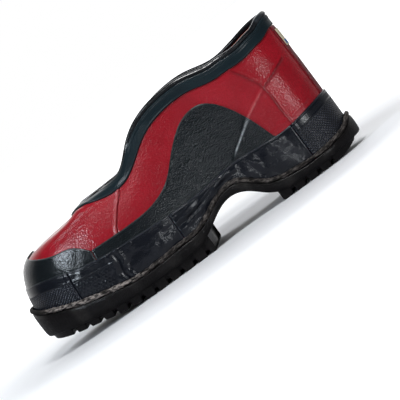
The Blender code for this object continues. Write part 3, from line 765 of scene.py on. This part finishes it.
panel("foxing_toe", (-FOXING_TOE, FOXING_TOE), FOXING_PLY, FOXING, "black_rubber", None, foxing_rise,
      lapped_knurl, step=0.5, wear=knurl_wear)
both_sides("foxing_front", (FOXING_TOE, FOXING_SEAM), FOXING_PLY, FOXING, "black_rubber", None,
           foxing_rise, front_relief, step=0.6)
both_sides("foxing_rear", (FOXING_SEAM, FOXING_HEEL), FOXING_PLY, FOXING, "black_rubber", None,
           foxing_rise, rear_relief, step=0.8)
panel("foxing_heel", (FOXING_HEEL, RIBS - FOXING_HEEL), FOXING_PLY, FOXING, "black_rubber", None,
      foxing_rise, lapped_knurl, step=0.5, wear=knurl_wear)

# ---------------------------------------------------------------- inside

WEAVE = 2 * math.pi / 2.4


def cloth_relief(at):
    return 0.06 * np.sin(at.run * WEAVE) * np.sin(at.up * WEAVE) + 0.1 * ripple(at.run, at.up, 17)


def collar_wear(at):
    """The gum edge that shows under the roll."""
    return smoothstep(at.under_high, 2.2, 1.0)


LINING_PLY = (-2.9, -0.8)
panel("lining_vamp", (-LINING_SEAM, LINING_SEAM), LINING_PLY, LINING, "lining_cloth",
      relief=cloth_relief, step=0.9, wear=collar_wear)
both_sides("lining_quarter", (LINING_SEAM + BUTT, HALF_RIBS - BUTT), LINING_PLY, LINING, "lining_cloth",
           relief=cloth_relief, step=0.9, wear=collar_wear)

LABEL_FOOT, LABEL_TOP = 0.74, 0.88
PATCH_HALF, PATCH_FOOT, PATCH_TOP = LABEL_HALF - 0.03, LABEL_FOOT + 0.01, LABEL_FOOT + 0.045


def level(rise):
    """A border at one rise all along."""
    return lambda ribs: np.full(len(ribs), rise)


def label_weave(at):
    return 0.05 * np.sin(at.up * 2 * math.pi / 1.3)


panel("heel_label", (HALF_RIBS - LABEL_HALF, HALF_RIBS + LABEL_HALF), (1.3, 0.6), CREAM, "label_cloth",
      level(LABEL_FOOT), level(LABEL_TOP), label_weave, step=0.4, radius=0.4)
panel("label_patch", (HALF_RIBS - PATCH_HALF, HALF_RIBS + PATCH_HALF), (1.8, 0.3), BLUE, "label_cloth",
      level(PATCH_FOOT), level(PATCH_TOP), step=0.4, radius=0.3, nodes=["heel_label"])

# ---------------------------------------------------------------- cords

BEAD_STEP, BEAD_SIDES, BEAD_RADIUS = 0.9, 18, 2.05
ROLL_STEP, ROLL_SIDES, ROLL_RADIUS, ROLL_RIBS = 1.0, 28, 2.25, 7


def edge_cord():
    """The bead on the sole's wall: smooth round the toe and the heel, torn and rough along the sides."""
    runs = np.arange(0, AROUND, BEAD_STEP)
    ribs = np.interp(runs, RUNS, RUN_RIBS)
    afts = outline(ribs)[:, 0]
    turn, along = np.meshgrid(np.arange(BEAD_SIDES) * 3.0, np.arange(len(runs)) * BEAD_STEP)
    sides_only = smoothstep(afts, 12, 24) * smoothstep(afts, 300, 275)
    rough = (0.42 * ripple(along, turn, 1.7) + 0.4 * ripple(along, turn + 40, 4.1)
             + 0.3 * ripple(along, turn * 0 + 9, 11))
    flecks = (smoothstep(ripple(along, turn * 0.6, 4.6), -0.6, 0.15)
              * smoothstep(ripple(along, turn, 1.5), -0.8, 0.3))
    worn_stretch = smoothstep(afts, 14, 26) * (0.25 + 0.75 * smoothstep(afts, 120, 85))
    cord("edge_bead", bead_line(ribs, BEAD_OUT), np.repeat([[0.0, 0, 1]], len(runs), axis=0),
         BEAD_RADIUS + rough * (0.25 + 0.75 * sides_only)[:, None], BEAD,
         flecks * worn_stretch[:, None])


def collar_roll():
    """The finely ribbed roll on the topline, thicker where its ends lap behind the heel."""
    ribs = np.interp(np.arange(0, AROUND, ROLL_STEP), RUNS, RUN_RIBS)
    count = len(ribs)
    edge = table_at(TABLE, ribs, np.ones(count))
    normals = normal_at(ribs, np.ones(count))
    up = np.cross(normals, np.roll(edge, -1, axis=0) - np.roll(edge, 1, axis=0))
    up /= np.linalg.norm(up, axis=1, keepdims=True)
    turn = np.arange(ROLL_SIDES) * 2 * math.pi / ROLL_SIDES
    fine_ribs = 0.16 * np.cos(turn * ROLL_RIBS)[None, :] * smoothstep(np.sin(turn), 1.0, -0.6)[None, :]
    slow = 0.12 * ripple(np.arange(count) * ROLL_STEP, np.zeros(count), 16)[:, None]
    from_lap = np.abs(np.arange(count) - count // 2 + 6)
    swell = 0.35 * smoothstep(from_lap, 14, 11)[:, None]
    cord("topline_bead", edge - 0.4 * normals + 2.1 * up, up, ROLL_RADIUS + fine_ribs + slow + swell, ROLL)


edge_cord()
collar_roll()

# ---------------------------------------------------------------- sole

WALL_INSIDE = 3.6        # from the sole's outline out to the inner face of its wall
MIDDLE_START, MIDDLE_END = 42, 285       # the floor closes on this stretch of the middle line


def cup():
    """The outsole's floor and wall, with a bulging edge and rolled corners."""
    ribs = np.interp(np.arange(0, AROUND + 1, 1.3), RUNS, RUN_RIBS)
    ribs[-1] = RIBS
    aft = outline(ribs)[:, 0]
    bottom, top = floor_under(aft), wall_bead(aft) - 2.2
    # Over the wall's top and down its outer face, as (out from the outline, share of its height).
    profile = [(WALL_INSIDE, 0.98), (4.6, 1.0), (6.2, 0.99), (6.9, 0.95), (7.15, 0.85), (7.25, 0.7),
               (7.2, 0.5), (7.0, 0.3), (6.6, 0.14), (5.9, 0.04), (5.0, 0.0), (WALL_INSIDE, 0.0)]
    rows = [placed(*outline_offset(ribs, np.full(len(ribs), out)).T, bottom + (top - bottom) * share)
            for out, share in profile]
    wall = outline_offset(ribs, np.full(len(ribs), WALL_INSIDE))
    middle = np.column_stack([np.clip(wall[:, 0], MIDDLE_START, MIDDLE_END), np.zeros(len(ribs))])
    for share in np.linspace(0, 1, 8)[1:]:
        plan = wall + (middle - wall) * share
        rows.append(placed(plan[:, 0], plan[:, 1], floor_under(plan[:, 0])))
    lining = [row.copy() for row in rows[-1:len(profile) - 2:-1]]
    for row in lining:
        row[:, 2] += OUTSOLE_THICK * floor_stretch(LENGTH / 2 - row[:, 0] + TO_FRAME[0])
    rows += lining + [rows[0]]
    points = np.array(rows).transpose(1, 0, 2)
    outward = np.array([1.0 if 2 < k < len(profile) - 1 else 0.0 for k in range(len(rows))])
    away = outline_offset(ribs, np.full(len(ribs), 1.0)) - outline(ribs)
    down = outward * np.arange(len(rows)) * 2
    bumps = 0.3 * ripple(run_at(ribs)[:, None] + 0 * down[None, :], down[None, :], 9)
    points[:, :, 0] -= bumps * outward * away[:, :1]
    points[:, :, 1] += bumps * outward * away[:, 1:]
    index = np.arange(points.shape[0] * points.shape[1]).reshape(points.shape[:2])
    quads = grid_quads(index)
    mesh = new_mesh("outsole", points.reshape(-1, 3), quads[:, ::-1])
    paint(mesh, "wear", (np.repeat(outward[None, :], len(ribs), axis=0) * 0.5
                         * smoothstep(ripple(run_at(ribs), 0 * ribs, 13), -0.2, 0.8)[:, None]).ravel())
    return finish("outsole", mesh, SOLE, ["outsole"])


EDGE_RIBS = np.linspace(0, HALF_RIBS, 600)


def half_width(aft, out):
    edge = outline_offset(EDGE_RIBS, np.full(len(EDGE_RIBS), out))
    return np.interp(aft, edge[:, 0], edge[:, 1])


def tread(name, start, end, first_groove, last_bar, nodes):
    """A slab of transverse bars, rounded at their edges, with notched side walls."""
    depth, width, pitch = 4.4, 4.0, 13.4
    end_radius = 2.2
    aft = np.r_[np.arange(start, end + 1e-6, 0.45), end]
    grooves = np.arange(first_groove, end - last_bar, pitch)
    cut = np.zeros(len(aft))
    for groove in grooves:
        inside = np.minimum(aft - groove, groove + width - aft)
        cut = np.maximum(cut, smoothstep(inside, -0.5, 0.7))
    ends = np.minimum(aft - start, end - aft)
    lift = end_radius * (1 - np.sqrt(1 - (1 - np.clip(ends / end_radius, 0, 1)) ** 2))
    low = np.maximum(tread_curve(aft), 0) + depth * cut + lift
    high = floor_under(aft) + 0.8
    wide_low, wide_high = half_width(aft, 2.0), half_width(aft, WALL_INSIDE)
    corner = np.minimum(1.3, (high - low) / 2)
    rows = [np.column_stack([wide_high, high])]
    for share in (0.66, 0.33):
        rows.append(np.column_stack([wide_low + (wide_high - wide_low) * share,
                                     low + corner + (high - low - corner) * share]))
    for angle in np.radians([0, 30, 60, 90]):
        rows.append(np.column_stack([wide_low - corner * (1 - np.cos(angle)),
                                     low + corner * (1 - np.sin(angle))]))
    for share in (0.8, 0.6, 0.4, 0.2):
        rows.append(np.column_stack([(wide_low - corner) * share,
                                     low + 0.12 * ripple(aft, aft * 0 + share * 50, 6)]))
    rows += [np.column_stack([0 * low, low])]
    rows += [row * [-1, 1] for row in rows[-2::-1]]
    rows += [rows[0]]
    points = np.stack([placed(aft, row[:, 0], row[:, 1]) for row in rows], axis=1)
    index = np.arange(points.shape[0] * points.shape[1]).reshape(points.shape[:2])
    first_cap = np.array([[index[0, k], index[0, k + 1], index[0, -2 - k - 1], index[0, -2 - k]]
                          for k in range((len(rows) - 2) // 2)])
    last_cap = np.array([[index[-1, k], index[-1, k + 1], index[-1, -2 - k - 1], index[-1, -2 - k]]
                         for k in range((len(rows) - 2) // 2)])
    quads = np.vstack([grid_quads(index), first_cap[:, ::-1], last_cap])
    mesh = new_mesh(name, points.reshape(-1, 3), quads[:, ::-1])
    paint(mesh, "wear", np.repeat((1 - cut)[:, None], len(rows), axis=1) * 0.25)
    return finish(name, mesh, SOLE, nodes)


cup()
tread("forefoot_tread", 3.2, 168.0, 24.0, 8, ["outsole"])
tread("heel", 238.0, 316.7, 248.0, 20, ["heel"])


SOCK_HEIGHT, SOCK_THICK = 9.6, 0.9       # its middle over the outsole's underside


def sock():
    """The cloth the foot rests on, slightly dished."""
    ribs = np.linspace(0, HALF_RIBS, 260)
    plan = outline_offset(ribs, np.full(len(ribs), -4.0))
    shares = np.linspace(-1, 1, 61)
    aft = np.repeat(plan[:, :1], len(shares), axis=1)
    side = plan[:, 1:] * shares[None, :]
    dish = 0.8 * shares[None, :] ** 2 + 0.15 * ripple(aft, side, 9)
    height = floor_under(aft) + SOCK_HEIGHT * floor_stretch(aft) + dish
    top = placed(aft, side, height)
    under = placed(aft, side, height - SOCK_THICK)
    count = aft.size
    index = np.arange(count).reshape(aft.shape)
    back = index + count
    back[[0, -1]] = index[[0, -1]]
    back[:, [0, -1]] = index[:, [0, -1]]
    mesh = new_mesh("sock_lining", np.vstack([top.reshape(-1, 3), under.reshape(-1, 3)]),
                    np.vstack([grid_quads(index), grid_quads(back)[:, ::-1]])[:, ::-1])
    paint(mesh, "wear", np.zeros(2 * count))
    return finish("sock_lining", mesh, SOCK, ["sock_lining"])


sock()

# ---------------------------------------------------------------- stage

def pale_floor():
    """A white floor that fades into the white backdrop away from the clog."""
    bpy.ops.mesh.primitive_plane_add(size=40)
    floor = bpy.context.object
    floor.name = "floor"
    material = bpy.data.materials.new("floor")
    material.use_nodes = True
    nodes, links = material.node_tree.nodes, material.node_tree.links
    shader = nodes["Principled BSDF"]
    shader.inputs["Roughness"].default_value = 0.6
    shader.inputs["Specular IOR Level"].default_value = 0.2
    away = nodes.new("ShaderNodeVectorMath")
    away.operation = "LENGTH"
    place = nodes.new("ShaderNodeNewGeometry")
    links.new(place.outputs["Position"], away.inputs[0])
    fade = nodes.new("ShaderNodeMapRange")
    fade.inputs["From Min"].default_value, fade.inputs["From Max"].default_value = 0.2, 0.55
    links.new(away.outputs["Value"], fade.inputs["Value"])
    camera_ray = nodes.new("ShaderNodeLightPath").outputs["Is Camera Ray"]
    glow = nodes.new("ShaderNodeMath")
    glow.operation = "MULTIPLY"
    links.new(fade.outputs["Result"], glow.inputs[0])
    links.new(camera_ray, glow.inputs[1])
    # Pale to the camera, and dimmer where the black rubber mirrors it.
    colour = nodes.new("ShaderNodeMix")
    colour.data_type = "RGBA"
    links.new(camera_ray, colour.inputs["Factor"])
    colour.inputs[6].default_value = (0.3, 0.3, 0.32, 1)
    colour.inputs[7].default_value = (0.86, 0.87, 0.89, 1)
    links.new(colour.outputs[2], shader.inputs["Base Color"])
    shader.inputs["Emission Color"].default_value = (1, 1, 1, 1)
    links.new(glow.outputs[0], shader.inputs["Emission Strength"])
    floor.data.materials.append(material)


pale_floor()

AZIMUTH, ELEVATION, ROLL_ANGLE, DISTANCE = 186.0, 3.5, 36.2, 2.2
TARGET = Vector((-0.019, 0.042, 0.0425))
FRAME_WIDTH, SENSOR = 0.340, 36      # metres seen across at the clog, and the sensor in millimetres


def looking_back(azimuth, elevation):
    azimuth, elevation = math.radians(azimuth), math.radians(elevation)
    return Vector((math.sin(azimuth) * math.cos(elevation), -math.cos(azimuth) * math.cos(elevation),
                   math.sin(elevation)))


back = looking_back(AZIMUTH, ELEVATION)
camera = bpy.data.objects.new("camera", bpy.data.cameras.new("camera"))
camera.data.sensor_width = SENSOR
camera.data.lens = SENSOR * DISTANCE / FRAME_WIDTH
upright = back.to_track_quat("Z", "Y").to_matrix().to_4x4()
camera.matrix_world = (Matrix.Translation(TARGET + back * DISTANCE) @ upright
                       @ Matrix.Rotation(math.radians(-ROLL_ANGLE), 4, "Z"))
bpy.context.scene.collection.objects.link(camera)
bpy.context.scene.camera = camera


def softbox(name, toward, distance, size, power, colour=(1, 1, 1)):
    """A lamp in the direction toward = (right, up, nearer) of the picture, facing the clog."""
    light = bpy.data.lights.new(name, "AREA")
    light.shape = "RECTANGLE"
    light.size, light.size_y = size
    light.energy = power
    light.color = colour
    lamp = bpy.data.objects.new(name, light)
    away = (camera.matrix_world.to_3x3() @ Vector(toward)).normalized()
    lamp.matrix_world = (Matrix.Translation(Vector((0, 0, 0.06)) + away * distance)
                         @ away.to_track_quat("Z", "Y").to_matrix().to_4x4())
    bpy.context.scene.collection.objects.link(lamp)


softbox("key", (-0.35, 0.75, 0.7), 1.2, (0.3, 0.2), 8)
softbox("heel side", (0.5, 0.36, 0.79), 1.3, (0.26, 0.26), 2, (0.95, 0.98, 1.0))
softbox("toe top", (-0.8, 0.36, 0.5), 1.2, (0.2, 0.2), 2, (0.85, 0.92, 1.0))
softbox("toe side", (-0.66, -0.17, 0.72), 1.2, (0.14, 0.26), 3.2, (0.8, 0.9, 1.0))
softbox("instep", (-0.42, 0.22, 0.88), 1.4, (0.25, 0.25), 1, (0.93, 0.97, 1.0))
softbox("camera side", (0.1, -0.06, 1.0), 2.6, (0.26, 0.22), 4.5, (0.93, 0.97, 1.0))
softbox("back", (-0.3, 0.7, -0.6), 1.4, (0.8, 0.3), 3, (0.9, 0.95, 1.0))


def studio():
    """White to the camera. As a light, a bright backdrop behind the clog and a dim room in front of it."""
    world = bpy.data.worlds.new("studio")
    bpy.context.scene.world = world
    world.use_nodes = True
    nodes, links = world.node_tree.nodes, world.node_tree.links
    facing = nodes.new("ShaderNodeVectorMath")
    facing.operation = "DOT_PRODUCT"
    facing.inputs[1].default_value = -back
    links.new(nodes.new("ShaderNodeTexCoord").outputs["Generated"], facing.inputs[0])
    behind = nodes.new("ShaderNodeMapRange")
    behind.interpolation_type = "SMOOTHSTEP"
    for name, value in (("From Min", -0.1), ("From Max", 0.7), ("To Min", 0.06), ("To Max", 1.0)):
        behind.inputs[name].default_value = value
    links.new(facing.outputs["Value"], behind.inputs["Value"])
    seen = nodes.new("ShaderNodeMix")
    links.new(nodes.new("ShaderNodeLightPath").outputs["Is Camera Ray"], seen.inputs["Factor"])
    links.new(behind.outputs["Result"], seen.inputs["A"])
    seen.inputs["B"].default_value = 1.0
    background = nodes["Background"]
    background.inputs["Color"].default_value = (1, 1, 1, 1)
    links.new(seen.outputs["Result"], background.inputs["Strength"])


studio()
bpy.context.scene.view_settings.view_transform = "Standard"
bpy.context.scene.view_settings.look = "None"
